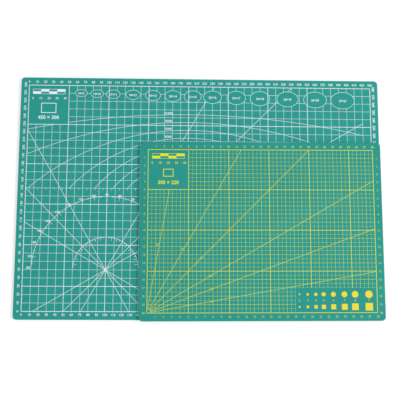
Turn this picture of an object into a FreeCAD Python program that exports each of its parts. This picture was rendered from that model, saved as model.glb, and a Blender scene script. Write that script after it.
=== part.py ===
import FreeCAD, Part
import math
import os

from FreeCAD import Placement, Rotation, Vector

# A pair of self-healing cutting mats: a small one lying on the front right corner of a large one.
# Millimetres and degrees, +Z up, origin at the centre of the large mat's underside.

# Large sheet
LARGE_LENGTH = 450.0
LARGE_WIDTH = 300.0
LARGE_CORNER_RADIUS = 4.5
LARGE_MARGIN = 10.0

# Small sheet
SMALL_LENGTH = 300.0
SMALL_WIDTH = 220.0
SMALL_CORNER_RADIUS = 5.0
SMALL_MARGIN = 10.0

# Plies of both sheets, from the table up
BOTTOM_PLY = 1.0
CORE_PLY = 1.0
TOP_PLY = 1.0

# Rounding that the cutting die leaves on the upper and lower rim of a sheet
RIM_ROUND = 0.3

# How the small mat lies: pushed past the large mat's right edge, and turned about its front right corner
SMALL_OVERHANG = 1.3
SMALL_TURN = 0.28

# Ink films of both prints; the back left square between bold lines is a label panel, kept bare of guides
INK_FILM = 0.03
GRID_PITCH = 10.0
BOLD_PITCH = 50.0

# Large print: white border, bold lines and guides
LARGE_BORDER_LINE = 0.66
LARGE_BOLD_LINE = 0.62
LARGE_GUIDE_LINE = 0.45
LARGE_CURVE_LINE = 0.41
GUIDE_RIGHT_INSET = 10.0
BOLD_RIGHT_INSET = 30.0

# Protractor, placed from the grid's front left corner; each arc has a radius and an angle open at its ends
PROTRACTOR_X = 100.0
PROTRACTOR_Y = 50.0
PROTRACTOR_RADII = (40.0, 90.0)
PROTRACTOR_OPEN_ANGLES = (4.0, 2.0)
GUIDE_ANGLES = (30.0, 45.0, 60.0)

# Radius arcs, nested under the back edge of the grid
ARC_RADII = (1000.0, 500.0, 300.0, 200.0, 150.0, 120.0, 100.0, 80.0)
ARC_CENTRE_X = 200.0
ARC_BASE_Y = 150.0
ARC_FIRST_DROP = 36.0
ARC_STEP = 10.0

# Ellipse templates, in a row that hangs from one line, with their centres counted in grid squares
ELLIPSE_SQUARES = (6.5, 8.5, 10.5, 13, 15.5, 18, 20.5, 23, 26, 29, 32.5, 36, 39.5)
ELLIPSE_LENGTHS = (15.0, 16.0, 17.0, 18.0, 19.0, 20.0, 21.5, 22.5, 23.5, 24.5, 27.0, 29.0, 30.0)
ELLIPSE_DROP = 5.0
ELLIPSE_FIRST_WIDTH = 9.0
ELLIPSE_WIDTH_STEP = 1.04

# Small print: yellow border, bold lines and rays from the front left corner of its grid
SMALL_BORDER_LINE = 0.62
SMALL_BOLD_LINE = 0.60
SMALL_GUIDE_LINE = 0.37
RAY_ANGLES = (10.0, 20.0, 30.0, 45.0, 60.0, 80.0)
RAY_ROOT_RADIUS = 5.0

# Filled circles and squares, on a bare gauge panel in the front right corner of the small grid; their places
# are counted in grid squares from the panel's left edge
GAUGE_SQUARES = (0.5, 1.5, 2.5, 3.45, 4.65, 6, 7.3, 9)
GAUGE_END_GAP = 10.0
GAUGE_FIRST_SIZE = 2.0
GAUGE_SIZE_STEP = 1.0
SQUARE_ROW_Y = 7.0
GAUGE_ROW_PITCH = 15.0
GAUGE_BACK_GAP = 8.0

# Sizes that follow
SHEET_THICKNESS = BOTTOM_PLY + CORE_PLY + TOP_PLY
LARGE_GRID_LENGTH = LARGE_LENGTH - 2 * LARGE_MARGIN
LARGE_GRID_WIDTH = LARGE_WIDTH - 2 * LARGE_MARGIN
SMALL_GRID_LENGTH = SMALL_LENGTH - 2 * SMALL_MARGIN
SMALL_GRID_WIDTH = SMALL_WIDTH - 2 * SMALL_MARGIN
CIRCLE_ROW_Y = SQUARE_ROW_Y + GAUGE_ROW_PITCH
GAUGE_PANEL_LEFT = SMALL_GRID_LENGTH - GAUGE_END_GAP - GAUGE_SQUARES[-1] * GRID_PITCH


# Flat shapes, drawn from the front left corner of a grid

def rectangle(left, front, right, back):
    """Flat face between two opposite corners."""
    corners = [Vector(left, front), Vector(right, front), Vector(right, back), Vector(left, back)]
    return Part.Face(Part.makePolygon(corners + corners[:1]))


def disc(x, y, diameter):
    """Flat round face."""
    return Part.Face(Part.Wire(Part.makeCircle(diameter / 2, Vector(x, y, 0))))


def oval(x, y, length, width):
    """Flat elliptical face, with its long axis along X."""
    curve = Part.Ellipse(Vector(x, y, 0), length / 2, width / 2)
    return Part.Face(Part.Wire(curve.toShape()))


def stroke(start, end, line):
    """Straight stroke of ink between two points."""
    run = end - start
    side = Vector(-run.y, run.x, 0).normalize() * (line / 2)
    corners = [start + side, start - side, end - side, end + side]
    return Part.Face(Part.makePolygon(corners + corners[:1]))


def arc_stroke(centre, radius, start_angle, end_angle, line):
    """Curved stroke of ink between two angles, counted from +X."""
    def on_arc(distance, angle):
        turn = math.radians(angle)
        return centre + Vector(distance * math.cos(turn), distance * math.sin(turn), 0)

    middle_angle = (start_angle + end_angle) / 2
    outer = radius + line / 2
    inner = radius - line / 2
    edges = [
        Part.Arc(on_arc(outer, start_angle), on_arc(outer, middle_angle), on_arc(outer, end_angle)),
        Part.LineSegment(on_arc(outer, end_angle), on_arc(inner, end_angle)),
        Part.Arc(on_arc(inner, end_angle), on_arc(inner, middle_angle), on_arc(inner, start_angle)),
        Part.LineSegment(on_arc(inner, start_angle), on_arc(outer, start_angle)),
    ]
    return Part.Face(Part.Wire([edge.toShape() for edge in edges]))


def ray(centre, angle, start_radius, line, right, back):
    """Straight stroke from a centre out to the edge of a field whose front left corner is the origin."""
    turn = math.radians(angle)
    way = Vector(math.cos(turn), math.sin(turn), 0)
    reach_x = (right - centre.x) / way.x if way.x > 0 else -centre.x / way.x
    reach_y = (back - centre.y) / way.y if way.y > 0 else -centre.y / way.y
    return stroke(centre + way * start_radius, centre + way * min(reach_x, reach_y), line)


def leave_bare(strokes, areas):
    """Strokes with their stretches inside the given areas left out."""
    return [face for item in strokes for face in item.cut(areas).Faces]


def border(length, width, line):
    """Four strokes round a grid, with square corners."""
    over = line / 2
    corners = [Vector(0, 0), Vector(length, 0), Vector(length, width), Vector(0, width)]
    strokes = []
    for start, end in zip(corners, corners[1:] + corners[:1]):
        along = (end - start).normalize() * over
        strokes.append(stroke(start - along, end + along, line))
    return strokes


def pitches(first, last, pitch):
    """Every multiple of a pitch that lies inside a span, counted from its first end."""
    count = math.ceil((last - first) / pitch - 1e-6)
    return [first + step * pitch for step in range(1, count)]


def ink(faces):
    """Film of ink on top of a sheet, one solid for each flat face."""
    film = Part.makeCompound([face.extrude(Vector(0, 0, INK_FILM)) for face in faces])
    film.translate(Vector(0, 0, SHEET_THICKNESS))
    return film


def line_work(strokes):
    """Flat faces in which crossing strokes run together."""
    return strokes[0].multiFuse(strokes[1:]).removeSplitter().Faces


# Prints

def label_panel(grid_width):
    """Back left square between a grid's border and its first bold lines."""
    return rectangle(0, grid_width - BOLD_PITCH, BOLD_PITCH, grid_width)


def ellipse_templates():
    """Centre, length and width of each ellipse template that the grid has room for."""
    templates = []
    for index, (squares, length) in enumerate(zip(ELLIPSE_SQUARES, ELLIPSE_LENGTHS)):
        x = squares * GRID_PITCH
        width = ELLIPSE_FIRST_WIDTH + index * ELLIPSE_WIDTH_STEP
        if x + length / 2 < LARGE_GRID_LENGTH - LARGE_BORDER_LINE:
            templates.append((x, LARGE_GRID_WIDTH - ELLIPSE_DROP - width / 2, length, width))
    return templates


def large_bold_lines():
    """Bold grid lines: uprights counted from the left, cross lines counted from the back."""
    last_upright = LARGE_GRID_LENGTH - BOLD_RIGHT_INSET
    lines = []
    for x in pitches(0, last_upright, BOLD_PITCH):
        lines.append(stroke(Vector(x, 0), Vector(x, LARGE_GRID_WIDTH), LARGE_BOLD_LINE))
    for drop in pitches(0, LARGE_GRID_WIDTH, BOLD_PITCH):
        y = LARGE_GRID_WIDTH - drop
        lines.append(stroke(Vector(0, y), Vector(LARGE_GRID_LENGTH, y), LARGE_BOLD_LINE))
    return lines


def angle_guides():
    """Guide lines through the protractor's centre, at the same angles in each quarter."""
    centre = Vector(PROTRACTOR_X, PROTRACTOR_Y)
    right = LARGE_GRID_LENGTH - GUIDE_RIGHT_INSET
    angles = [way for angle in GUIDE_ANGLES for way in (angle, 180 - angle, 180 + angle, 360 - angle)]
    return [ray(centre, angle, 0, LARGE_GUIDE_LINE, right, LARGE_GRID_WIDTH) for angle in angles]


def protractor_arcs():
    """Two half circles, which stop short of the level through their centre."""
    centre = Vector(PROTRACTOR_X, PROTRACTOR_Y)
    arcs = []
    for radius, open_angle in zip(PROTRACTOR_RADII, PROTRACTOR_OPEN_ANGLES):
        arcs.append(arc_stroke(centre, radius, open_angle, 180 - open_angle, LARGE_GUIDE_LINE))
    return arcs


def radius_arcs():
    """Nested arcs of falling radius, each a step nearer the front, while they rise above their base line."""
    right = LARGE_GRID_LENGTH - GUIDE_RIGHT_INSET
    tops = [LARGE_GRID_WIDTH - ARC_FIRST_DROP - index * ARC_STEP for index in range(len(ARC_RADII))]
    arcs = []
    for radius, top in zip(ARC_RADII, tops):
        if top - ARC_BASE_Y < LARGE_CURVE_LINE:
            break
        centre = Vector(ARC_CENTRE_X, top - radius)
        half_base = math.sqrt(radius ** 2 - (ARC_BASE_Y - centre.y) ** 2)
        start = math.degrees(math.acos(min(half_base, right - ARC_CENTRE_X) / radius))
        end = 180 - math.degrees(math.acos(min(half_base, ARC_CENTRE_X) / radius))
        arcs.append(arc_stroke(centre, radius, start, end, LARGE_CURVE_LINE))
    return arcs


def grown_ovals(growth):
    """The ellipse templates as flat faces, each larger than its outline by the same growth."""
    return [oval(x, y, length + growth, width + growth) for x, y, length, width in ellipse_templates()]


def large_line_print():
    """White print of the large mat, apart from its ellipse templates."""
    bare = grown_ovals(LARGE_CURVE_LINE) + [label_panel(LARGE_GRID_WIDTH)]
    strokes = border(LARGE_GRID_LENGTH, LARGE_GRID_WIDTH, LARGE_BORDER_LINE)
    strokes += large_bold_lines()
    strokes += leave_bare(angle_guides() + protractor_arcs() + radius_arcs(), bare)
    return ink(line_work(strokes))


def large_template_print():
    """White outlines of the ellipse templates, broken where a bold line runs through them."""
    outer_ovals = grown_ovals(LARGE_CURVE_LINE)
    inner_ovals = grown_ovals(-LARGE_CURVE_LINE)
    rings = [outer.cut(inner) for outer, inner in zip(outer_ovals, inner_ovals)]
    return ink(leave_bare(rings, large_bold_lines()))


def gauge_panel():
    """Bare panel that holds the gauge marks."""
    return rectangle(GAUGE_PANEL_LEFT, 0, SMALL_GRID_LENGTH, CIRCLE_ROW_Y + GAUGE_BACK_GAP)


def small_line_print():
    """Yellow print of the small mat, apart from its gauge marks."""
    corner = Vector(0, 0)
    bold = []
    for x in pitches(0, SMALL_GRID_LENGTH, BOLD_PITCH):
        bold.append(stroke(Vector(x, 0), Vector(x, SMALL_GRID_WIDTH), SMALL_BOLD_LINE))
    for drop in pitches(0, SMALL_GRID_WIDTH, BOLD_PITCH):
        y = SMALL_GRID_WIDTH - drop
        bold.append(stroke(Vector(0, y), Vector(SMALL_GRID_LENGTH, y), SMALL_BOLD_LINE))
    rays = []
    for angle in RAY_ANGLES:
        line = SMALL_GUIDE_LINE
        rays.append(ray(corner, angle, RAY_ROOT_RADIUS, line, SMALL_GRID_LENGTH, SMALL_GRID_WIDTH))
    strokes = border(SMALL_GRID_LENGTH, SMALL_GRID_WIDTH, SMALL_BORDER_LINE)
    strokes += leave_bare(bold, [gauge_panel()])
    strokes += leave_bare(rays, [gauge_panel(), label_panel(SMALL_GRID_WIDTH)])
    strokes.append(arc_stroke(corner, RAY_ROOT_RADIUS, 0, 90, SMALL_GUIDE_LINE))
    return ink(line_work(strokes))


def small_gauge_print():
    """Filled circles and squares of rising size, each an island of ink."""
    marks = []
    for index, squares in enumerate(GAUGE_SQUARES):
        size = GAUGE_FIRST_SIZE + index * GAUGE_SIZE_STEP
        x = GAUGE_PANEL_LEFT + squares * GRID_PITCH
        half = size / 2
        marks.append(disc(x, CIRCLE_ROW_Y, size))
        marks.append(rectangle(x - half, SQUARE_ROW_Y - half, x + half, SQUARE_ROW_Y + half))
    return ink(marks)


# Sheets and their places

def ply_blank(length, width, margin, corner_radius, level, thickness):
    """Flat ply with rounded corners, before its rim is eased."""
    blank = Part.makeBox(length, width, thickness, Vector(-margin, -margin, level))
    uprights = [edge for edge in blank.Edges if abs(edge.tangentAt(edge.FirstParameter).z) > 0.5]
    return blank.makeFillet(corner_radius, uprights)


def ease_rim(ply, level):
    """Ply with the edges that lie at one level rounded over."""
    rim = [edge for edge in ply.Edges if all(abs(vertex.Z - level) < 1e-6 for vertex in edge.Vertexes)]
    return ply.makeFillet(RIM_ROUND, rim)


def sheet_plies(length, width, margin, corner_radius):
    """Bottom, core and top ply of one sheet, die-cut together to one outline."""
    outline = (length, width, margin, corner_radius)
    bottom = ease_rim(ply_blank(*outline, 0, BOTTOM_PLY), 0)
    core = ply_blank(*outline, BOTTOM_PLY, CORE_PLY)
    top = ease_rim(ply_blank(*outline, BOTTOM_PLY + CORE_PLY, TOP_PLY), SHEET_THICKNESS)
    return bottom, core, top


def large_place():
    """From the large grid's front left corner to the part's frame."""
    return Placement(Vector(-LARGE_GRID_LENGTH / 2, -LARGE_GRID_WIDTH / 2, 0), Rotation())


def small_place():
    """From the small grid's front left corner to the part's frame, on top of the large mat's ink."""
    turn = Rotation(Vector(0, 0, 1), SMALL_TURN)
    pivot = Vector(LARGE_LENGTH / 2 + SMALL_OVERHANG, -LARGE_WIDTH / 2, SHEET_THICKNESS + INK_FILM)
    corner = Vector(SMALL_LENGTH - SMALL_MARGIN, -SMALL_MARGIN, 0)
    return Placement(pivot - turn.multVec(corner), turn)


def main():
    large_plies = sheet_plies(LARGE_LENGTH, LARGE_WIDTH, LARGE_MARGIN, LARGE_CORNER_RADIUS)
    small_plies = sheet_plies(SMALL_LENGTH, SMALL_WIDTH, SMALL_MARGIN, SMALL_CORNER_RADIUS)
    large_pieces = dict(zip(("large_bottom_ply", "large_core_ply", "large_top_ply"), large_plies))
    large_pieces["large_line_print"] = large_line_print()
    large_pieces["large_template_print"] = large_template_print()
    small_pieces = dict(zip(("small_bottom_ply", "small_core_ply", "small_top_ply"), small_plies))
    small_pieces["small_line_print"] = small_line_print()
    small_pieces["small_gauge_print"] = small_gauge_print()

    os.makedirs("parts", exist_ok=True)
    for pieces, place in ((large_pieces, large_place()), (small_pieces, small_place())):
        for node, shape in pieces.items():
            shape.Placement = place.multiply(shape.Placement)
            shape.exportStep("parts/" + node + ".step")
            print(node, len(shape.Solids), "solids,", round(shape.Volume, 3), "mm3, valid", shape.isValid())


main()
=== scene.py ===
import math

import bpy
from mathutils import Matrix, Vector
from mathutils.geometry import delaunay_2d_cdt


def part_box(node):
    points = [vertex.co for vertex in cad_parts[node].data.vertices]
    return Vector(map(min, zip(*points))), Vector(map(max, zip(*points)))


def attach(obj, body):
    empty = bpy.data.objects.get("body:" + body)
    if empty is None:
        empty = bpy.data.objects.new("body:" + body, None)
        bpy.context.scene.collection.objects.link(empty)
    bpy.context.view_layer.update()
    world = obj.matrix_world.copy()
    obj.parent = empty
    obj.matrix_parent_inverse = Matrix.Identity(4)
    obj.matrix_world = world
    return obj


bl_info = {
    "name": "Cutting Mat Pair",
    "version": (1, 0, 0),
    "blender": (4, 5, 0),
    "location": "3D View > Sidebar > Cutting Mats",
    "description": "Finishes and fine print for a small cutting mat that lies on a large one",
    "category": "Object",
}

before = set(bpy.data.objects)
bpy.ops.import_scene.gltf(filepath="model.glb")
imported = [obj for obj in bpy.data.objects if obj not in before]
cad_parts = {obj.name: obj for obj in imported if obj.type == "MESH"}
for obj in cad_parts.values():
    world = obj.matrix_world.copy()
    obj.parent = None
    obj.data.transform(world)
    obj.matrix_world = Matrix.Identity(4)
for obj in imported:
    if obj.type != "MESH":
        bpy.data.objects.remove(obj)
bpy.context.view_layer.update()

MM = 0.001

# Printed grids with their pitches, the bare margin round them and the label panel, in millimetres
LARGE_GRID = (430, 280)
SMALL_GRID = (280, 200)
MARGIN = 10
PITCH = 10
HALF_PITCH = 5
BOLD_PITCH = 50
LABEL_SIDE = 50

# Turn of the small mat, in degrees
SMALL_TURN = 0.28

# Guides of the large print that the solids already carry, and that the fine print has to meet; their places
# count from the front left corner of the grid
BOLD_RIGHT_INSET = 30
GUIDE_RIGHT_INSET = 10
PROTRACTOR = (100.0, 50.0)
PROTRACTOR_RADII = (40.0, 90.0)
HALF_TURN = 180
DEGREE_STEP = 10
HALF_DEGREE_STEP = 5
ARC_RADII = (1000, 500, 300, 200, 150, 120, 100, 80)
ARC_BASE_Y = 150.0
ARC_FIRST_TOP = 244.0
ARC_STEP = 10.0
ELLIPSE_CENTRES = (65, 85, 105, 130, 155, 180, 205, 230, 260, 290, 325, 360, 395)
ELLIPSE_LENGTHS = (15.0, 16.0, 17.0, 18.0, 19.0, 20.0, 21.5, 22.5, 23.5, 24.5, 27.0, 29.0, 30.0)
ELLIPSE_TOP = 275.0
ELLIPSE_FIRST_WIDTH = 9.0
ELLIPSE_WIDTH_STEP = 1.04

# Guides of the small print
GAUGE_PANEL = (180.0, 0.0, 280.0, 30.0)
GAUGE_PLACES = (185.0, 195.0, 205.0, 214.5, 226.5, 240.0, 253.0, 270.0)

# Reach of the ticks from the line that they stand on
LONG_TICK = 1.2
SHORT_TICK = 1.05
BASE_TICK = 2.2
LONG_DEGREE_TICK = 4.0
SHORT_DEGREE_TICK = 1.9

# From the front, back, left and right side of a grid to the middle of the figures along it
LARGE_FIGURE_GAPS = (3.9, 4.6, 4.5, 4.2)
SMALL_FIGURE_GAPS = (4.6, 4.1, 4.2, 4.85)
SMALL_RIGHT_DROP = 0.3

# Move of a ruler's figure along its way of reading, for each digit after its first
FIGURE_LEAD = 0.35

# Figures at the guides; those of the protractor stand outside its outer arc, on an oval because they are
# wider than high, and some near the base line lie higher, by their angle from that line
PROTRACTOR_FIGURE_OVAL = (186.8, 183.8)
LOW_FIGURE_RISES = {0: 2.3, 20: 1.8, 30: 1.2}
RADIUS_FIGURE_X = 175.0
RADIUS_FIGURE_RISE = 1.7
ELLIPSE_FIRST_FIGURES = (15, 9)
ELLIPSE_FIGURE_DROP = 0.4
GAUGE_FIRST_FIGURE = 2
GAUGE_FIGURE_Y = 14.75
RAY_FIGURES = (
    ("80", 12.3, 82.3),
    ("60", 42.8, 77.2),
    ("45", 65.3, 66.0),
    ("30", 76.8, 44.5),
    ("20", 78.1, 28.4),
    ("10", 78.3, 13.4),
)

# Ways that a figure reads, as its turn in degrees
ACROSS = 0
UPWARDS = 90
DOWNWARDS = -90

# Steps along each curve of a figure's outline
FIGURE_CURVE_STEPS = 2

# Weights of the figures: what their strokes gain in width, as a share of their height
LIGHT = 0.01
MEDIUM = 0.025
HEAVY = 0.055

# Corners of a figure that lie nearer than this share of its height count as one
CORNER_GAP = 0.01

# Label panels, from the front left corner of the panel
SCALE_BAR_LEFT = 5.0
SCALE_BAR_FRONT = 39.0
SCALE_BAR_FIELDS = 4
SCALE_BAR_ROW = 3.0
SCALE_BAR_LINE = 0.4
SCALE_FIGURE_Y = 33.5
SHEET_SIGN_Y = 21.0
SHEET_SIGN_SCALE = 0.04
SHEET_SIGN_LINE = 0.8
SIZE_FIGURE_Y = 9.0

# Camera in millimetres and degrees; lamp and floor in metres, with the floor just under the mats
CAMERA_PLACE = (-16.72, -84.155, 727.004)
CAMERA_AIM = (-0.196, -3.677, 3.0)
CAMERA_ROLL = 0.2597
SENSOR_WIDTH = 36.0
KEY_PLACE = (2.1, -0.15, 1.75)
KEY_SIZE = 0.85
FLOOR_REACH = 4.0
FLOOR_LEVEL = -0.02 * MM

# Colours of the floor: for the light that it sends back to the mats, and for what the eye sees near them,
# which is part glow and part shaded paint; the shadow fades into white between two distances from the middle
WHITE = "#FFFFFF"
FLOOR_BOUNCE = "#E7E7E7"
FLOOR_SHADE = "#C4C4C4"
FLOOR_GLOW = 0.5
SHADOW_FADE = (0.35, 0.9)


def linear(code):
    """Linear colour of an sRGB hex code."""
    levels = [int(code[place:place + 2], 16) / 255 for place in (1, 3, 5)]
    return tuple(c / 12.92 if c <= 0.04045 else ((c + 0.055) / 1.055) ** 2.4 for c in levels)


# Values that a user would change

def length_property(name, description, millimetres):
    """Length in metres, from a default in millimetres."""
    return bpy.props.FloatProperty(
        name=name, description=description, default=millimetres * MM, min=0, precision=5, unit="LENGTH")


def colour_property(name, description, code):
    """Linear colour, from a default as an sRGB hex code."""
    return bpy.props.FloatVectorProperty(
        name=name, description=description, default=linear(code), min=0, max=1, size=3, subtype="COLOR")


class MatFinish(bpy.types.PropertyGroup):
    """Colours of the sheets and inks."""
    large_pvc: colour_property("Large Mat PVC", "Outer plies of the large mat", "#21978C")
    small_pvc: colour_property("Small Mat PVC", "Outer plies of the small mat, a shade darker", "#209387")
    core_pvc: colour_property("Core PVC", "Harder ply that shows at the cut edge", "#12685E")
    white_ink: colour_property("White Ink", "Print of the large mat", "#F0F7FE")
    yellow_ink: colour_property("Yellow Ink", "Filled marks of the small mat", "#ECDA38")
    line_yellow: colour_property("Line Yellow", "Bold lines and label of the small mat", "#E9EA12")
    fine_yellow: colour_property("Fine Yellow", "Fine lines of the small mat", "#DDEF12")
    figure_yellow: colour_property("Figure Yellow", "Figures of the small mat", "#C6DC50")


class MatPrint(bpy.types.PropertyGroup):
    """Sizes of the fine print."""
    line_film: length_property("Line Film", "Height of the fine lines", 0.015)
    tick_film: length_property("Tick Film", "Height of the ticks", 0.02)
    figure_film: length_property("Figure Film", "Height of the printed figures", 0.025)
    large_line: length_property("Large Mat Line", "Width of the 10 mm lines on the large mat", 0.33)
    small_line: length_property("Small Mat Line", "Width of the 10 mm lines on the small mat", 0.275)
    half_line: length_property("Small Mat Half Line", "Width of the 5 mm lines on the small mat", 0.155)
    tick_line: length_property("Tick Line", "Width of the ticks", 0.36)
    large_figure: length_property(
        "Large Mat Figure", "Height of the figures along the large mat's edges and both scale bars", 2.9)
    small_figure: length_property(
        "Small Mat Figure", "Height of the figures along the small mat's edges", 2.5)
    guide_figure: length_property("Guide Figure", "Height of the figures at the guides", 2.7)
    label_figure: length_property("Label Figure", "Height of the sizes in the label panels", 4.4)


class MatStage(bpy.types.PropertyGroup):
    """Camera and light."""
    lens: bpy.props.FloatProperty(
        name="Lens", description="Focal length on a 36 mm sensor", default=53.01, unit="CAMERA")
    key_power: bpy.props.FloatProperty(
        name="Key Power", description="Soft lamp on the right", default=40.5, min=0, unit="POWER")
    sky_level: bpy.props.FloatProperty(
        name="Sky Level", description="Even light from all round", default=0.66, min=0, subtype="FACTOR")


# Materials

# Usual spread of a noise texture's values
NOISE_SPREAD = {"From Min": 0.3, "From Max": 0.7}


def add_node(tree, kind, inputs=None, **settings):
    """One node with its settings; each input takes a value, or a link from another node's output."""
    node = tree.nodes.new(kind)
    for name, value in settings.items():
        setattr(node, name, value)
    for name, value in (inputs or {}).items():
        if isinstance(value, bpy.types.NodeSocket):
            tree.links.new(value, node.inputs[name])
        else:
            node.inputs[name].default_value = value
    return node


def new_material(name):
    """Material with an empty node tree."""
    material = bpy.data.materials.new(name)
    material.use_nodes = True
    material.node_tree.nodes.clear()
    return material


def soft_pvc(name, colour):
    # Soft PVC, calendered on a matte roll: an even dull green with a faint cloud in its tone and a fine
    # grain. The grain of about 0.3 mm is too fine to show, so it is drawn at 0.9 mm. The cut walls and the
    # rounded rim get painted shade: their colour turns darker the more they stand upright.
    cloud_size = 45 * MM
    grain_size = 0.9 * MM
    grain_depth = 0.04 * MM
    # Darkest share of the colour on upright faces, as painted shade
    upright_shade_tone = 0.72
    material = new_material(name)
    tree = material.node_tree
    where = add_node(tree, "ShaderNodeTexCoord").outputs["Object"]
    cloud = add_node(tree, "ShaderNodeTexNoise", {"Vector": where, "Scale": 1 / cloud_size, "Detail": 2.0})
    grain = add_node(tree, "ShaderNodeTexNoise", {"Vector": where, "Scale": 1 / grain_size, "Detail": 3.0})
    tone = add_node(tree, "ShaderNodeMapRange", {
        "Value": cloud.outputs["Fac"], **NOISE_SPREAD, "To Min": 0.965, "To Max": 1.035})
    speck = add_node(tree, "ShaderNodeMapRange", {
        "Value": grain.outputs["Fac"], **NOISE_SPREAD, "To Min": 0.96, "To Max": 1.04})
    surface = add_node(tree, "ShaderNodeNewGeometry")
    slope = add_node(tree, "ShaderNodeSeparateXYZ", {"Vector": surface.outputs["Normal"]})
    flatness = add_node(tree, "ShaderNodeMath", {0: slope.outputs["Z"]}, operation="ABSOLUTE")
    # Painted shade: the colour darkens as a face turns upright, down to that darkest share
    rim = add_node(tree, "ShaderNodeMapRange", {
        "Value": flatness.outputs["Value"], "From Min": 0.4, "From Max": 0.98,
        "To Min": upright_shade_tone, "To Max": 1.0})
    sheet_tone = add_node(tree, "ShaderNodeMath", {
        0: tone.outputs["Result"], 1: speck.outputs["Result"]}, operation="MULTIPLY")
    # Sheet tone times the painted shade of upright faces
    painted_shade_tone = add_node(tree, "ShaderNodeMath", {
        0: sheet_tone.outputs["Value"], 1: rim.outputs["Result"]}, operation="MULTIPLY")
    tint = add_node(tree, "ShaderNodeHueSaturation", {
        "Color": (*colour, 1), "Value": painted_shade_tone.outputs["Value"]})
    gloss = add_node(tree, "ShaderNodeMapRange", {
        "Value": grain.outputs["Fac"], **NOISE_SPREAD, "To Min": 0.58, "To Max": 0.70})
    bump = add_node(tree, "ShaderNodeBump", {
        "Height": grain.outputs["Fac"], "Strength": 0.35, "Distance": grain_depth})
    shader = add_node(tree, "ShaderNodeBsdfPrincipled", {
        "Base Color": tint.outputs["Color"], "Roughness": gloss.outputs["Result"],
        "Normal": bump.outputs["Normal"], "IOR": 1.53, "Specular IOR Level": 0.2})
    add_node(tree, "ShaderNodeOutputMaterial", {"Surface": shader.outputs["BSDF"]})
    return material


def core_pvc(colour):
    # Hard PVC sheet, seen only where the die cut it: a darker green with upright scuffs from the blade,
    # 0.5 mm apart.
    scuff_size = 0.5 * MM
    scuff_depth = 0.05 * MM
    scuff_stretch = (1, 1, 0.12)
    material = new_material("die_cut_hard_pvc")
    tree = material.node_tree
    where = add_node(tree, "ShaderNodeTexCoord").outputs["Object"]
    upright = add_node(tree, "ShaderNodeMapping", {"Vector": where, "Scale": scuff_stretch})
    scuff = add_node(tree, "ShaderNodeTexNoise", {
        "Vector": upright.outputs["Vector"], "Scale": 1 / scuff_size, "Detail": 2.0})
    tone = add_node(tree, "ShaderNodeMapRange", {
        "Value": scuff.outputs["Fac"], **NOISE_SPREAD, "To Min": 0.86, "To Max": 1.14})
    tint = add_node(tree, "ShaderNodeHueSaturation", {
        "Color": (*colour, 1), "Value": tone.outputs["Result"]})
    bump = add_node(tree, "ShaderNodeBump", {
        "Height": scuff.outputs["Fac"], "Strength": 0.4, "Distance": scuff_depth})
    shader = add_node(tree, "ShaderNodeBsdfPrincipled", {
        "Base Color": tint.outputs["Color"], "Roughness": 0.5,
        "Normal": bump.outputs["Normal"], "IOR": 1.54, "Specular IOR Level": 0.3})
    add_node(tree, "ShaderNodeOutputMaterial", {"Surface": shader.outputs["BSDF"]})
    return material


def screen_ink(name, colour):
    # Screen-printed vinyl ink: opaque and satin, with the slight unevenness that the mesh of the screen
    # leaves. The finer a line, the thinner it lies, and the green below turns the yellow towards lime. A
    # screen's threads lie about 0.1 mm apart, too fine to show, so the unevenness is drawn at 0.7 mm.
    mesh_size = 0.7 * MM
    material = new_material(name)
    tree = material.node_tree
    where = add_node(tree, "ShaderNodeTexCoord").outputs["Object"]
    lay = add_node(tree, "ShaderNodeTexNoise", {"Vector": where, "Scale": 1 / mesh_size, "Detail": 2.0})
    tone = add_node(tree, "ShaderNodeMapRange", {
        "Value": lay.outputs["Fac"], **NOISE_SPREAD, "To Min": 0.95, "To Max": 1.0})
    tint = add_node(tree, "ShaderNodeHueSaturation", {
        "Color": (*colour, 1), "Value": tone.outputs["Result"]})
    gloss = add_node(tree, "ShaderNodeMapRange", {
        "Value": lay.outputs["Fac"], **NOISE_SPREAD, "To Min": 0.42, "To Max": 0.55})
    shader = add_node(tree, "ShaderNodeBsdfPrincipled", {
        "Base Color": tint.outputs["Color"], "Roughness": gloss.outputs["Result"],
        "IOR": 1.5, "Specular IOR Level": 0.25})
    add_node(tree, "ShaderNodeOutputMaterial", {"Surface": shader.outputs["BSDF"]})
    return material


def ink(kind):
    """One of the inks, made once."""
    name = "screen_printed_" + kind
    made = bpy.data.materials.get(name)
    return made or screen_ink(name, getattr(bpy.context.scene.mat_finish, kind))


def finish_nodes(nodes, material):
    """Puts a finish into the material slots of CAD nodes."""
    for node in nodes:
        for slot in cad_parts[node].material_slots:
            slot.material = material


# Flat outlines, in grid millimetres

def bar(start, end, line):
    """Corners of a straight stroke between two points."""
    start, end = Vector(start), Vector(end)
    along = (end - start).normalized() * (line / 2)
    side = Vector((-along.y, along.x))
    return [start - side, end - side, end + side, start + side]


def block(left, front, right, back):
    """Corners of a rectangle with its sides along the axes."""
    return [Vector((left, front)), Vector((right, front)), Vector((right, back)), Vector((left, back))]


def frame_bars(corners, line):
    """Strokes along the sides of a rectangle, with square ends."""
    strokes = []
    for start, end in zip(corners, corners[1:] + corners[:1]):
        reach = (end - start).normalized() * (line / 2)
        strokes.append(bar(start - reach, end + reach, line))
    return strokes


def on_circle(centre, radius, degrees):
    """Point at an angle on a circle, counted from +X."""
    turn = math.radians(degrees)
    return Vector(centre) + Vector((math.cos(turn), math.sin(turn))) * radius


def ellipses():
    """Centre, length and width of each ellipse template."""
    for index, (x, length) in enumerate(zip(ELLIPSE_CENTRES, ELLIPSE_LENGTHS)):
        width = ELLIPSE_FIRST_WIDTH + index * ELLIPSE_WIDTH_STEP
        yield x, ELLIPSE_TOP - width / 2, length, width


def oval(x, y, length, width, corners=48):
    """Corners of an ellipse."""
    turns = [2 * math.pi * index / corners for index in range(corners)]
    return [Vector((x + length / 2 * math.cos(t), y + width / 2 * math.sin(t))) for t in turns]


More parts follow.
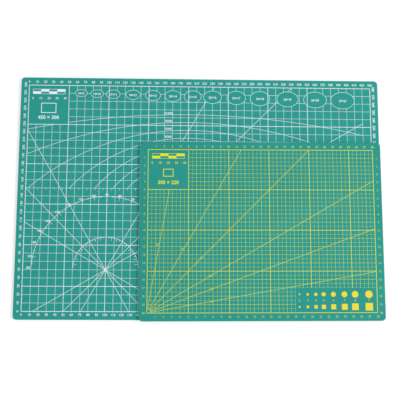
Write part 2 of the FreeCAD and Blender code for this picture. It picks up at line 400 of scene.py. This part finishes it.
def merged(strokes, bare=()):
    """Points and faces of strokes that run together, left out inside the bare areas."""
    triangles_inside = 1
    same_point = 1e-5
    points = []
    loops = []
    for corners in list(strokes) + list(bare):
        loops.append(list(range(len(points), len(points) + len(corners))))
        points += corners
    points, _, faces, _, _, owners = delaunay_2d_cdt(points, [], loops, triangles_inside, same_point, True)
    inked = len(strokes)
    kept = [face for face, own in zip(faces, owners) if own and all(index < inked for index in own)]
    used = sorted({index for face in kept for index in face})
    number = {index: place for place, index in enumerate(used)}
    return [points[index] for index in used], [[number[index] for index in face] for face in kept]


def rim(faces):
    """Sides of faces that no other face shares, from corner to corner."""
    sides = {(a, b) for face in faces for a, b in zip(face, face[1:] + face[:1])}
    return sorted((a, b) for a, b in sides if (b, a) not in sides)


def rim_loops(faces):
    """Closed runs of corners round faces, which lie to the left of each run."""
    following = dict(rim(faces))
    loops = []
    while following:
        loop = [min(following)]
        while loop[-1] in following:
            loop.append(following.pop(loop[-1]))
        loops.append(loop[:-1])
    return loops


def widened(loop, reach, gap):
    """Corners of a closed run moved to its right, once those nearer than a gap are one."""
    kept = [point for index, point in enumerate(loop) if (point - loop[index - 1]).length > gap]
    moved = []
    for index, point in enumerate(kept):
        arriving = (point - kept[index - 1]).normalized()
        leaving = (kept[(index + 1) % len(kept)] - point).normalized()
        right = Vector((arriving.y + leaving.y, -arriving.x - leaving.x))
        moved.append(point + right * (reach / (1 + arriving.dot(leaving))))
    return moved


def turns_left(loop):
    """Whether a closed run goes round to the left, as it does outside a stroke and not inside a hole."""
    return sum(start.cross(end) for start, end in zip(loop, loop[1:] + loop[:1])) > 0


def figure(text, height, weight):
    """Points and faces of a printed figure, centred on the origin."""
    curve = bpy.data.curves.new("figure", "FONT")
    holder = bpy.data.objects.new("figure", curve)
    curve.resolution_u = FIGURE_CURVE_STEPS
    curve.body = "0"
    ruler = bpy.data.meshes.new_from_object(holder)
    levels = [vertex.co.y for vertex in ruler.vertices]
    scale = height / (max(levels) - min(levels))
    curve.body = text
    shape = bpy.data.meshes.new_from_object(holder)
    places = [vertex.co.x for vertex in shape.vertices]
    middle = Vector(((max(places) + min(places)) / 2, (max(levels) + min(levels)) / 2))
    points = [(vertex.co.xy - middle) * scale for vertex in shape.vertices]
    loops = rim_loops([list(face.vertices) for face in shape.polygons])
    bpy.data.objects.remove(holder)
    bpy.data.curves.remove(curve)
    bpy.data.meshes.remove(ruler)
    bpy.data.meshes.remove(shape)
    reach = weight * height / 2
    gap = CORNER_GAP * height
    rings = [widened([points[index] for index in loop], reach, gap) for loop in loops]
    strokes = [ring for ring in rings if turns_left(ring)]
    holes = [ring[::-1] for ring in rings if not turns_left(ring)]
    return merged(strokes, holes)


def figures(entries, height, weight):
    """Points and faces of many figures, each with its text, its place and its turn in degrees."""
    drawn = {text: figure(text, height, weight) for text in sorted({entry[0] for entry in entries})}
    outlines = []
    for text, x, y, degrees in entries:
        points, faces = drawn[text]
        turn = Matrix.Rotation(math.radians(degrees), 2)
        outlines.append(([turn @ point + Vector((x, y)) for point in points], faces))
    return joined(outlines)


def led_figure(text, x, y, degrees):
    """Entry for a ruler's figure that starts near its line, so that a longer one lies further along."""
    place = on_circle((x, y), FIGURE_LEAD * (len(text) - 1), degrees)
    return text, place.x, place.y, degrees


def joined(outlines):
    """Several outlines as one."""
    points = []
    faces = []
    for shape, sides in outlines:
        faces += [[index + len(points) for index in side] for side in sides]
        points += shape
    return points, faces


def grid_bars(grid, pitch, skip, line):
    """Strokes of a grid along both ways, apart from the lines that another pass prints."""
    strokes = []
    for axis in (0, 1):
        for at in range(pitch, grid[axis], pitch):
            if at not in skip[axis]:
                ends = ((at, 0), (at, grid[1])) if axis == 0 else ((0, at), (grid[0], at))
                strokes.append(bar(*ends, line))
    return strokes


def bold_places(grid, right_inset=0):
    """Where a grid's bold uprights and cross lines lie; its cross lines are counted from the back."""
    uprights = range(BOLD_PITCH, grid[0] - right_inset, BOLD_PITCH)
    crossings = range(grid[1] - BOLD_PITCH, 0, -BOLD_PITCH)
    return uprights, crossings


def label_panel(grid):
    """Corners of the bare square in the back left corner of a grid."""
    return block(0, grid[1] - LABEL_SIDE, LABEL_SIDE, grid[1])


def scale_bar(left, front):
    """Strokes of a framed scale bar, filled by turns in its front and back row, with a line between them."""
    right = left + SCALE_BAR_FIELDS * PITCH
    middle = front + SCALE_BAR_ROW
    strokes = frame_bars(block(left, front, right, front + 2 * SCALE_BAR_ROW), SCALE_BAR_LINE)
    strokes.append(bar((left, middle), (right, middle), SCALE_BAR_LINE))
    for field in range(SCALE_BAR_FIELDS):
        start = left + field * PITCH
        low = front + field % 2 * SCALE_BAR_ROW
        strokes.append(block(start, low, start + PITCH, low + SCALE_BAR_ROW))
    return strokes


# Films of ink

def grid_place(ply, turn, grid):
    """From grid millimetres to the part's frame, on top of a sheet."""
    low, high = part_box(ply)
    middle = (low + high) / 2
    place = Matrix.Translation((middle.x, middle.y, high.z))
    place = place @ Matrix.Rotation(math.radians(turn), 4, "Z") @ Matrix.Diagonal((MM, MM, 1, 1))
    return place @ Matrix.Translation((-grid[0] / 2, -grid[1] / 2, 0))


# Place and material slot of the print on each mat
PRINTS = {
    "large_mat": (grid_place("large_top_ply", 0, LARGE_GRID), "white_ink"),
    "small_mat": (grid_place("small_top_ply", SMALL_TURN, SMALL_GRID), "yellow_ink"),
}


def print_film(name, outline, height, body, kind):
    """Closed film of one kind of ink over a flat outline, on the mat that carries it."""
    place, slot = PRINTS[body]
    points, faces = outline
    count = len(points)
    corners = [place @ Vector((x, y, level)) for level in (0, height) for x, y in points]
    shell = [list(reversed(face)) for face in faces]
    shell += [[index + count for index in face] for face in faces]
    shell += [[a, b, b + count, a + count] for a, b in rim(faces)]
    mesh = bpy.data.meshes.new(name)
    mesh.from_pydata(corners, [], shell)
    if mesh.validate():
        raise RuntimeError(name + " has faces that don't fit together")
    mesh.materials.append(ink(kind))
    piece = bpy.data.objects.new(name, mesh)
    bpy.context.scene.collection.objects.link(piece)
    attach(piece, body)


# Operators, one for each piece or group of like pieces

class MATS_OT_plies(bpy.types.Operator):
    """Gives the plies of both mats their PVC finishes"""
    bl_idname = "mats.plies"
    bl_label = "Plies"

    def execute(self, context):
        finish = context.scene.mat_finish
        large = soft_pvc("calendered_soft_pvc_large", finish.large_pvc)
        small = soft_pvc("calendered_soft_pvc_small", finish.small_pvc)
        finish_nodes(("large_bottom_ply", "large_top_ply"), large)
        finish_nodes(("small_bottom_ply", "small_top_ply"), small)
        finish_nodes(("large_core_ply", "small_core_ply"), core_pvc(finish.core_pvc))
        return {"FINISHED"}


class MATS_OT_bold_print(bpy.types.Operator):
    """Gives the bold lines, guides and templates their inks"""
    bl_idname = "mats.bold_print"
    bl_label = "Bold Print"

    def execute(self, context):
        finish_nodes(("large_line_print", "large_template_print"), ink("white_ink"))
        finish_nodes(("small_line_print",), ink("line_yellow"))
        finish_nodes(("small_gauge_print",), ink("yellow_ink"))
        return {"FINISHED"}


class MATS_OT_grids(bpy.types.Operator):
    """Prints the fine grid lines of both mats"""
    bl_idname = "mats.grids"
    bl_label = "Fine Grids"

    def execute(self, context):
        sizes = context.scene.mat_print
        bold = bold_places(LARGE_GRID, BOLD_RIGHT_INSET)
        strokes = grid_bars(LARGE_GRID, PITCH, bold, sizes.large_line / MM)
        bare = [label_panel(LARGE_GRID)] + [oval(*ellipse) for ellipse in ellipses()]
        print_film("large_grid_lines", merged(strokes, bare), sizes.line_film, "large_mat", "white_ink")

        whole = [range(0, side, PITCH) for side in SMALL_GRID]
        strokes = grid_bars(SMALL_GRID, PITCH, bold_places(SMALL_GRID), sizes.small_line / MM)
        strokes += grid_bars(SMALL_GRID, HALF_PITCH, whole, sizes.half_line / MM)
        bare = [label_panel(SMALL_GRID), block(*GAUGE_PANEL)]
        print_film("small_grid_lines", merged(strokes, bare), sizes.line_film, "small_mat", "fine_yellow")
        return {"FINISHED"}


class MATS_OT_ticks(bpy.types.Operator):
    """Prints the ticks along the border, the base line and the protractor"""
    bl_idname = "mats.ticks"
    bl_label = "Ticks"

    def execute(self, context):
        sizes = context.scene.mat_print
        line = sizes.tick_line / MM
        length, width = LARGE_GRID
        strokes = []
        for at in range(HALF_PITCH, length, HALF_PITCH):
            reach = SHORT_TICK if at % PITCH else LONG_TICK
            strokes.append(bar((at, 0), (at, -reach), line))
            strokes.append(bar((at, width), (at, width + reach), line))
        for at in range(HALF_PITCH, width, HALF_PITCH):
            reach = SHORT_TICK if at % PITCH else LONG_TICK
            strokes.append(bar((0, at), (-reach, at), line))
            strokes.append(bar((length, at), (length + reach, at), line))
        print_film("large_ruler_ticks", merged(strokes), sizes.tick_film, "large_mat", "white_ink")

        halves = range(HALF_PITCH, length - GUIDE_RIGHT_INSET, PITCH)
        strokes = [bar((x, ARC_BASE_Y), (x, ARC_BASE_Y - BASE_TICK), line) for x in halves]
        print_film("large_base_ticks", merged(strokes), sizes.tick_film, "large_mat", "white_ink")

        strokes = []
        for radius in PROTRACTOR_RADII:
            for degrees in range(HALF_DEGREE_STEP, HALF_TURN, HALF_DEGREE_STEP):
                reach = SHORT_DEGREE_TICK if degrees % DEGREE_STEP else LONG_DEGREE_TICK
                outer = on_circle(PROTRACTOR, radius, degrees)
                inner = on_circle(PROTRACTOR, radius - reach, degrees)
                strokes.append(bar(outer, inner, line))
        print_film("large_protractor_ticks", merged(strokes), sizes.tick_film, "large_mat", "white_ink")
        return {"FINISHED"}


class MATS_OT_edge_figures(bpy.types.Operator):
    """Prints the ruler figures along the edges of both mats"""
    bl_idname = "mats.edge_figures"
    bl_label = "Edge Figures"

    def execute(self, context):
        sizes = context.scene.mat_print
        length, width = LARGE_GRID
        front, back, left, right = LARGE_FIGURE_GAPS
        medium = []
        heavy = []
        for at in range(0, length + 1, PITCH):
            medium.append((str(at), at, width + back, ACROSS))
            medium.append(led_figure(str(at), at, -front, ACROSS))
        for at in range(0, width + 1, PITCH):
            medium.append(led_figure(str(at), -left, at, UPWARDS))
            heavy.append(led_figure(str(at), length + right, at, DOWNWARDS))
        height = sizes.large_figure / MM
        outline = joined([figures(medium, height, MEDIUM), figures(heavy, height, HEAVY)])
        print_film("large_edge_figures", outline, sizes.figure_film, "large_mat", "white_ink")

        length, width = SMALL_GRID
        front, back, left, right = SMALL_FIGURE_GAPS
        light = []
        heavy = []
        for at in range(PITCH, length + 1, PITCH):
            text = str(at // PITCH)
            heavy.append((text, at, width + back, ACROSS))
            light.append(led_figure(text, at, -front, ACROSS))
        for drop in range(PITCH, width + 1, PITCH):
            text = str(drop // PITCH)
            light.append((text, -left, width - drop, ACROSS))
            light.append((text, length + right, width - drop - SMALL_RIGHT_DROP, ACROSS))
        height = sizes.small_figure / MM
        outline = joined([figures(heavy, height, HEAVY), figures(light, height, LIGHT)])
        print_film("small_edge_figures", outline, sizes.figure_film, "small_mat", "figure_yellow")
        return {"FINISHED"}


class MATS_OT_guide_figures(bpy.types.Operator):
    """Prints the figures at the arcs, ellipses, protractor, rays and gauge marks"""
    bl_idname = "mats.guide_figures"
    bl_label = "Guide Figures"

    def execute(self, context):
        sizes = context.scene.mat_print
        height = sizes.guide_figure / MM
        entries = []
        for index, radius in enumerate(ARC_RADII):
            top = ARC_FIRST_TOP - index * ARC_STEP
            entries.append((f"R{radius}", RADIUS_FIGURE_X, top + RADIUS_FIGURE_RISE, ACROSS))
        for index, (x, y, _, _) in enumerate(ellipses()):
            long_way, short_way = (first + index for first in ELLIPSE_FIRST_FIGURES)
            entries.append((f"{long_way}×{short_way}", x, y - ELLIPSE_FIGURE_DROP, ACROSS))
        places = oval(*PROTRACTOR, *PROTRACTOR_FIGURE_OVAL, 2 * HALF_TURN // DEGREE_STEP)
        for degrees in range(0, HALF_TURN + 1, DEGREE_STEP):
            place = places[degrees // DEGREE_STEP]
            rise = LOW_FIGURE_RISES.get(min(degrees, HALF_TURN - degrees), 0)
            entries.append((str(degrees), place.x, place.y + rise, ACROSS))
        outline = figures(entries, height, HEAVY)
        print_film("large_guide_figures", outline, sizes.figure_film, "large_mat", "white_ink")

        entries = [(text, x, y, ACROSS) for text, x, y in RAY_FIGURES]
        for index, x in enumerate(GAUGE_PLACES):
            entries.append((str(GAUGE_FIRST_FIGURE + index), x, GAUGE_FIGURE_Y, ACROSS))
        outline = figures(entries, height, LIGHT)
        print_film("small_guide_figures", outline, sizes.figure_film, "small_mat", "figure_yellow")
        return {"FINISHED"}


class MATS_OT_labels(bpy.types.Operator):
    """Prints a plain scale bar, a sheet outline and the sheet's size in each label panel"""
    bl_idname = "mats.labels"
    bl_label = "Label Panels"

    def execute(self, context):
        sizes = context.scene.mat_print
        self.print_label("large_label_print", LARGE_GRID, sizes, "large_mat", "white_ink")
        self.print_label("small_label_print", SMALL_GRID, sizes, "small_mat", "line_yellow")
        return {"FINISHED"}

    def print_label(self, name, grid, sizes, body, kind):
        """One panel's print."""
        length, width = (side + 2 * MARGIN for side in grid)
        front = grid[1] - LABEL_SIDE
        middle = LABEL_SIDE / 2
        half_long = length * SHEET_SIGN_SCALE / 2
        half_short = width * SHEET_SIGN_SCALE / 2
        sign_y = front + SHEET_SIGN_Y
        sign = block(middle - half_long, sign_y - half_short, middle + half_long, sign_y + half_short)
        strokes = scale_bar(SCALE_BAR_LEFT, front + SCALE_BAR_FRONT) + frame_bars(sign, SHEET_SIGN_LINE)
        scale = []
        for field in range(SCALE_BAR_FIELDS + 1):
            at = field * PITCH
            scale.append((str(at), SCALE_BAR_LEFT + at, front + SCALE_FIGURE_Y, ACROSS))
        size = [(f"{length} × {width}", middle, front + SIZE_FIGURE_Y, ACROSS)]
        scale_figures = figures(scale, sizes.large_figure / MM, LIGHT)
        size_figures = figures(size, sizes.label_figure / MM, HEAVY)
        outline = joined([merged(strokes), scale_figures, size_figures])
        print_film(name, outline, sizes.figure_film, body, kind)


class MATS_OT_stage(bpy.types.Operator):
    """Sets the floor, the light and the camera"""
    bl_idname = "mats.stage"
    bl_label = "Stage"

    def execute(self, context):
        scene = context.scene
        stage = scene.mat_stage
        scene.view_settings.view_transform = "Standard"
        self.lay_floor(scene)
        self.light(scene, stage)
        self.aim_camera(scene, stage)
        return {"FINISHED"}

    def seen_rays(self, tree):
        """1 for the rays that show the surroundings to the eye, also in gloss and through glass."""
        path = add_node(tree, "ShaderNodeLightPath")
        seen = add_node(tree, "ShaderNodeMath", {
            0: path.outputs["Is Camera Ray"], 1: path.outputs["Is Glossy Ray"]}, operation="MAXIMUM")
        return add_node(tree, "ShaderNodeMath", {
            0: seen.outputs["Value"], 1: path.outputs["Is Transmission Ray"]}, operation="MAXIMUM")

    def lay_floor(self, scene):
        """White floor that keeps the mats' shadow."""
        mesh = bpy.data.meshes.new("floor")
        corners = block(-FLOOR_REACH, -FLOOR_REACH, FLOOR_REACH, FLOOR_REACH)
        mesh.from_pydata([(x, y, FLOOR_LEVEL) for x, y in corners], [], [(0, 1, 2, 3)])
        mesh.materials.append(self.floor_paint())
        floor = bpy.data.objects.new("floor", mesh)
        scene.collection.objects.link(floor)

    def floor_paint(self):
        # Painted board: white to the eye and pale grey to the mats, with the shadow close to them.
        fade_start, fade_end = SHADOW_FADE
        material = new_material("painted_board")
        tree = material.node_tree
        bounce = add_node(tree, "ShaderNodeBsdfDiffuse", {"Color": (*linear(FLOOR_BOUNCE), 1)})
        glow = add_node(tree, "ShaderNodeEmission", {"Color": (*linear(WHITE), 1), "Strength": FLOOR_GLOW})
        shade = add_node(tree, "ShaderNodeBsdfDiffuse", {"Color": (*linear(FLOOR_SHADE), 1)})
        near = add_node(tree, "ShaderNodeAddShader", {0: glow.outputs["Emission"], 1: shade.outputs["BSDF"]})
        far = add_node(tree, "ShaderNodeEmission", {"Color": (*linear(WHITE), 1), "Strength": 1.0})
        where = add_node(tree, "ShaderNodeTexCoord").outputs["Object"]
        distance = add_node(tree, "ShaderNodeVectorMath", {0: where}, operation="LENGTH")
        fade = add_node(tree, "ShaderNodeMapRange", {
            "Value": distance.outputs["Value"], "From Min": fade_start, "From Max": fade_end},
            interpolation_type="SMOOTHSTEP")
        white = add_node(tree, "ShaderNodeMixShader", {
            0: fade.outputs["Result"], 1: near.outputs["Shader"], 2: far.outputs["Emission"]})
        mix = add_node(tree, "ShaderNodeMixShader", {
            0: self.seen_rays(tree).outputs["Value"], 1: bounce.outputs["BSDF"], 2: white.outputs["Shader"]})
        add_node(tree, "ShaderNodeOutputMaterial", {"Surface": mix.outputs["Shader"]})
        return material

    def light(self, scene, stage):
        """Even sky, white to the eye, and one soft lamp."""
        world = bpy.data.worlds.new("studio")
        world.use_nodes = True
        tree = world.node_tree
        tree.nodes.clear()
        level = add_node(tree, "ShaderNodeMapRange", {
            "Value": self.seen_rays(tree).outputs["Value"], "To Min": stage.sky_level, "To Max": 1.0})
        sky = add_node(tree, "ShaderNodeBackground", {
            "Color": (*linear(WHITE), 1), "Strength": level.outputs["Result"]})
        add_node(tree, "ShaderNodeOutputWorld", {"Surface": sky.outputs["Background"]})
        scene.world = world
        lamp = bpy.data.lights.new("key", "AREA")
        lamp.shape = "DISK"
        lamp.size = KEY_SIZE
        lamp.energy = stage.key_power
        key = bpy.data.objects.new("key", lamp)
        key.location = KEY_PLACE
        key.rotation_euler = (-key.location).to_track_quat("-Z", "Y").to_euler()
        scene.collection.objects.link(key)

    def aim_camera(self, scene, stage):
        """Camera almost straight above the mats, with the back of the large mat up."""
        lens = bpy.data.cameras.new("camera")
        lens.lens = stage.lens
        lens.sensor_width = SENSOR_WIDTH
        camera = bpy.data.objects.new("camera", lens)
        place = Vector(CAMERA_PLACE) * MM
        back = Vector((0, 1, 0))
        ahead = (Vector(CAMERA_AIM) * MM - place).normalized()
        right = ahead.cross(back).normalized()
        up = right.cross(ahead)
        turn = Matrix((right, up, -ahead)).transposed().to_4x4()
        roll = Matrix.Rotation(math.radians(CAMERA_ROLL), 4, "Z")
        camera.matrix_world = Matrix.Translation(place) @ turn @ roll
        scene.collection.objects.link(camera)
        scene.camera = camera


OPERATORS = (
    MATS_OT_plies,
    MATS_OT_bold_print,
    MATS_OT_grids,
    MATS_OT_ticks,
    MATS_OT_edge_figures,
    MATS_OT_guide_figures,
    MATS_OT_labels,
    MATS_OT_stage,
)


class MATS_PT_sidebar(bpy.types.Panel):
    """Lists the values and the steps of the mats"""
    bl_idname = "MATS_PT_sidebar"
    bl_label = "Cutting Mats"
    bl_space_type = "VIEW_3D"
    bl_region_type = "UI"
    bl_category = "Cutting Mats"

    def draw(self, context):
        for values in (context.scene.mat_finish, context.scene.mat_print, context.scene.mat_stage):
            for name in values.__annotations__:
                self.layout.prop(values, name)
        for operator in OPERATORS:
            self.layout.operator(operator.bl_idname)


CLASSES = (MatFinish, MatPrint, MatStage, *OPERATORS, MATS_PT_sidebar)


def register():
    for item in CLASSES:
        bpy.utils.register_class(item)
    bpy.types.Scene.mat_finish = bpy.props.PointerProperty(type=MatFinish)
    bpy.types.Scene.mat_print = bpy.props.PointerProperty(type=MatPrint)
    bpy.types.Scene.mat_stage = bpy.props.PointerProperty(type=MatStage)


def unregister():
    del bpy.types.Scene.mat_stage
    del bpy.types.Scene.mat_print
    del bpy.types.Scene.mat_finish
    for item in reversed(CLASSES):
        bpy.utils.unregister_class(item)


def main():
    register()
    bpy.ops.mats.plies()
    bpy.ops.mats.bold_print()
    bpy.ops.mats.grids()
    bpy.ops.mats.ticks()
    bpy.ops.mats.edge_figures()
    bpy.ops.mats.guide_figures()
    bpy.ops.mats.labels()
    bpy.ops.mats.stage()


if __name__ == "__main__":
    main()
